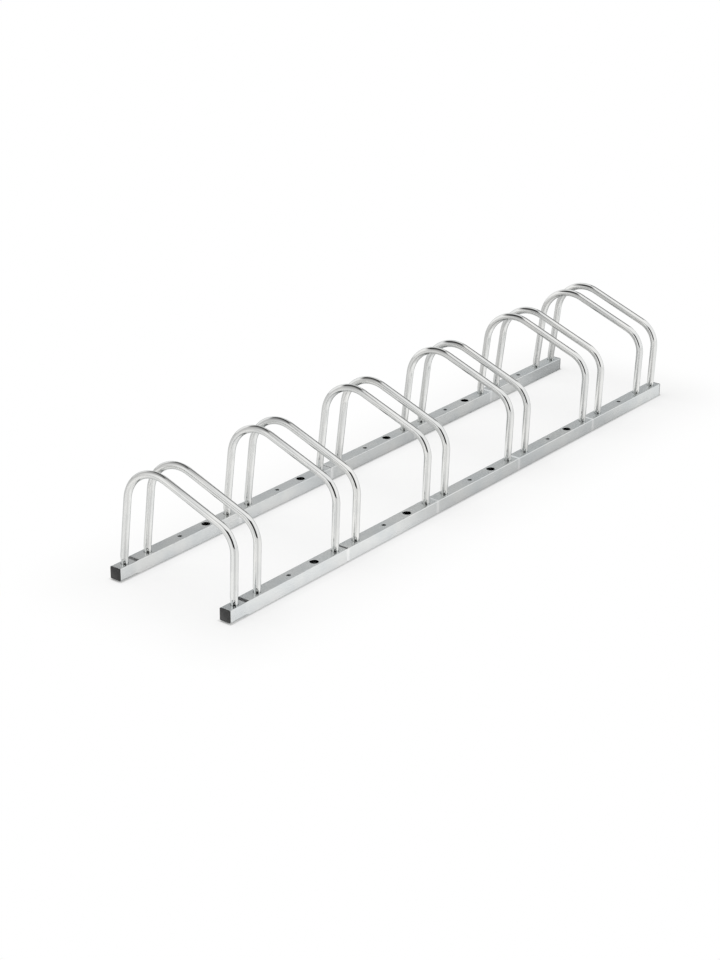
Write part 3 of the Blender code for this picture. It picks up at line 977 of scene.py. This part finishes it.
def flag_cloth(flag):
    """Grey cloth that fades out towards the flag's edges."""
    material, tree, output = new_material(f"{flag.name}_cloth")
    place = add_node(tree, "ShaderNodeTexCoord").outputs["Object"]
    ways = add_node(tree, "ShaderNodeSeparateXYZ", {0: place})
    sides = []
    for way, half in (("X", flag.half_width), ("Y", flag.half_height)):
        away = add_node(tree, "ShaderNodeMath", {0: ways.outputs[way]}, operation="ABSOLUTE")
        sides.append(add_node(tree, "ShaderNodeMapRange", {
            "Value": away, "From Min": flag.even * half, "From Max": half,
            "To Min": 1.0, "To Max": 0.0,
        }, interpolation_type="SMOOTHSTEP"))
    cover = add_node(tree, "ShaderNodeMath", {0: sides[0], 1: sides[1]}, operation="MULTIPLY")
    clear = add_node(tree, "ShaderNodeBsdfTransparent")
    cloth = add_node(tree, "ShaderNodeEmission", {"Color": WHITE, "Strength": flag.brightness})
    surface = add_node(tree, "ShaderNodeMixShader", {0: cover, 1: clear, 2: cloth})
    tree.links.new(surface.outputs[0], output.inputs["Surface"])
    return material


def add_flags():
    """The screens, which the metal mirrors and nothing else sees."""
    for flag in FLAGS:
        bm = bmesh.new()
        bmesh.ops.create_grid(bm, x_segments=1, y_segments=1, size=1.0)
        bmesh.ops.scale(bm, vec=(flag.half_width, flag.half_height, 1), verts=bm.verts)
        mesh = finish_mesh(bm, flag.name, sharp_degrees=30)
        mesh.materials.append(flag_cloth(flag))
        screen = bpy.data.objects.new(flag.name, mesh)
        screen.matrix_world = facing(Vector(flag.place)) @ Matrix.Rotation(flag.turn, 4, "Z")
        screen.visible_camera = False
        screen.visible_diffuse = False
        screen.visible_shadow = False
        screen.visible_transmission = False
        bpy.context.scene.collection.objects.link(screen)


def add_camera(scene, settings):
    """The camera at the photograph's angle."""
    lens = bpy.data.cameras.new("camera")
    lens.lens = settings.lens
    lens.clip_end = 4 * FLOOR_RADIUS
    camera = bpy.data.objects.new("camera", lens)
    look = (Matrix.Rotation(settings.azimuth, 4, "Z")
            @ Matrix.Rotation(math.pi / 2 - settings.elevation, 4, "X")
            @ Matrix.Rotation(settings.roll, 4, "Z"))
    camera.matrix_world = (Matrix.Translation(settings.target) @ look
                           @ Matrix.Translation((0, 0, settings.distance)))
    scene.collection.objects.link(camera)
    scene.camera = camera


# Operators


class RACK_OT_add_rails(bpy.types.Operator):
    """Adds the ten plug-together rail segments"""

    bl_idname = "rack.add_rails"
    bl_label = "Add Rails"

    def execute(self, context):
        settings = context.scene.rack_rails
        # The last material, the holes' near-black edge, is partly painted shade
        materials = (rail_zinc(settings), bare_steel("bare_steel_inside_tube", settings.inside),
                     bare_steel("punched_edge_steel_and_painted_shade", settings.punched_and_shaded))
        shapes = {last: rail_shape(settings, last, materials) for last in (False, True)}
        for line in ("front_rail", "rear_rail"):
            for index in range(1, SEGMENTS + 1):
                node = f"{line}_{index}"
                low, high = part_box(node)
                x = low.x + settings.plug_reach
                place = Matrix.Translation((x, (low.y + high.y) / 2, low.z))
                shape = shapes[index == SEGMENTS]
                add_piece(f"{node}_tube", node, shape, place, materials)
        for shape in shapes.values():
            bpy.data.meshes.remove(shape)
        return {"FINISHED"}


class RACK_OT_add_hoops(bpy.types.Operator):
    """Adds the six pairs of bent hoops"""

    bl_idname = "rack.add_hoops"
    bl_label = "Add Hoops"

    def execute(self, context):
        settings = context.scene.rack_hoops
        shape = hoop_shape(settings)
        materials = (hoop_zinc(settings),)
        for index in range(1, SEGMENTS + 2):
            for side in SIDES:
                node = f"hoop_{index}_{side}"
                low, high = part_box(node)
                place = Matrix.Translation(((low.x + high.x) / 2, 0, low.z))
                add_piece(f"{node}_tube", node, shape, place, materials)
        bpy.data.meshes.remove(shape)
        return {"FINISHED"}


class RACK_OT_add_caps(bpy.types.Operator):
    """Adds the four end caps, small in the pressed-down ends and large in the full ones"""

    bl_idname = "rack.add_caps"
    bl_label = "Add End Caps"

    def execute(self, context):
        settings = context.scene.rack_caps
        rails = context.scene.rack_rails
        # Border: straight from a polished mould, with faint ripples about 2 mm apart
        smooth = moulded_plastic("smooth_moulded_polyethylene", settings.smooth,
                                 roughness=0.38, grain=0.002, depth=0.00001)
        # Panel: from an etched mould, with a grain of about 0.4 mm that scatters the light
        grained = moulded_plastic("grained_moulded_polyethylene", settings.grained,
                                  roughness=0.6, grain=0.0004, depth=0.00006)
        half_turn = Matrix.Rotation(math.pi, 4, "Z")
        for side, width in zip(SIDES, (rails.plugged_width, rails.width)):
            shape = cap_shape(f"{side}_cap", width, settings, rails.wall, rails.corner)
            for line in ("front", "rear"):
                node = f"end_cap_{line}_{side}"
                low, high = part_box(node)
                x = low.x + settings.head if side == "left" else high.x - settings.head
                place = Matrix.Translation((x, (low.y + high.y) / 2, (low.z + high.z) / 2))
                if side == "right":
                    place = place @ half_turn
                add_piece(f"{node}_plug", node, shape, place, (smooth, grained))
            bpy.data.meshes.remove(shape)
        return {"FINISHED"}


class RACK_OT_add_stage(bpy.types.Operator):
    """Adds the floor, the light and the camera"""

    bl_idname = "rack.add_stage"
    bl_label = "Add Stage"

    def execute(self, context):
        settings = context.scene.rack_stage
        add_floor(settings)
        add_light(context.scene, settings)
        add_flags()
        add_camera(context.scene, settings)
        context.scene.view_settings.view_transform = "Standard"
        return {"FINISHED"}


# Panel


class RACK_PT_panel(bpy.types.Panel):
    """Lists the pieces of the rack and their settings"""

    bl_idname = "RACK_PT_panel"
    bl_label = "Bicycle rack"
    bl_space_type = "VIEW_3D"
    bl_region_type = "UI"
    bl_category = "Bicycle rack"

    def draw(self, context):
        for operator, group, settings in STEPS:
            box = self.layout.box()
            box.operator(operator.bl_idname)
            values = getattr(context.scene, group)
            for name in settings.__annotations__:
                box.prop(values, name)


# Each operator with its settings and where the scene keeps them, in the order of building
STEPS = (
    (RACK_OT_add_rails, "rack_rails", RackRailSettings),
    (RACK_OT_add_hoops, "rack_hoops", RackHoopSettings),
    (RACK_OT_add_caps, "rack_caps", RackCapSettings),
    (RACK_OT_add_stage, "rack_stage", RackStageSettings),
)


def register():
    """Registers the settings, the operators and the panel."""
    for operator, group, settings in STEPS:
        bpy.utils.register_class(settings)
        bpy.utils.register_class(operator)
        setattr(bpy.types.Scene, group, PointerProperty(type=settings))
    bpy.utils.register_class(RACK_PT_panel)


def unregister():
    """Takes back what register added."""
    bpy.utils.unregister_class(RACK_PT_panel)
    for operator, group, settings in reversed(STEPS):
        delattr(bpy.types.Scene, group)
        bpy.utils.unregister_class(operator)
        bpy.utils.unregister_class(settings)


def main():
    """Builds the rack and its stage."""
    register()
    bpy.ops.rack.add_rails()
    bpy.ops.rack.add_hoops()
    bpy.ops.rack.add_caps()
    bpy.ops.rack.add_stage()


if __name__ == "__main__":
    main()
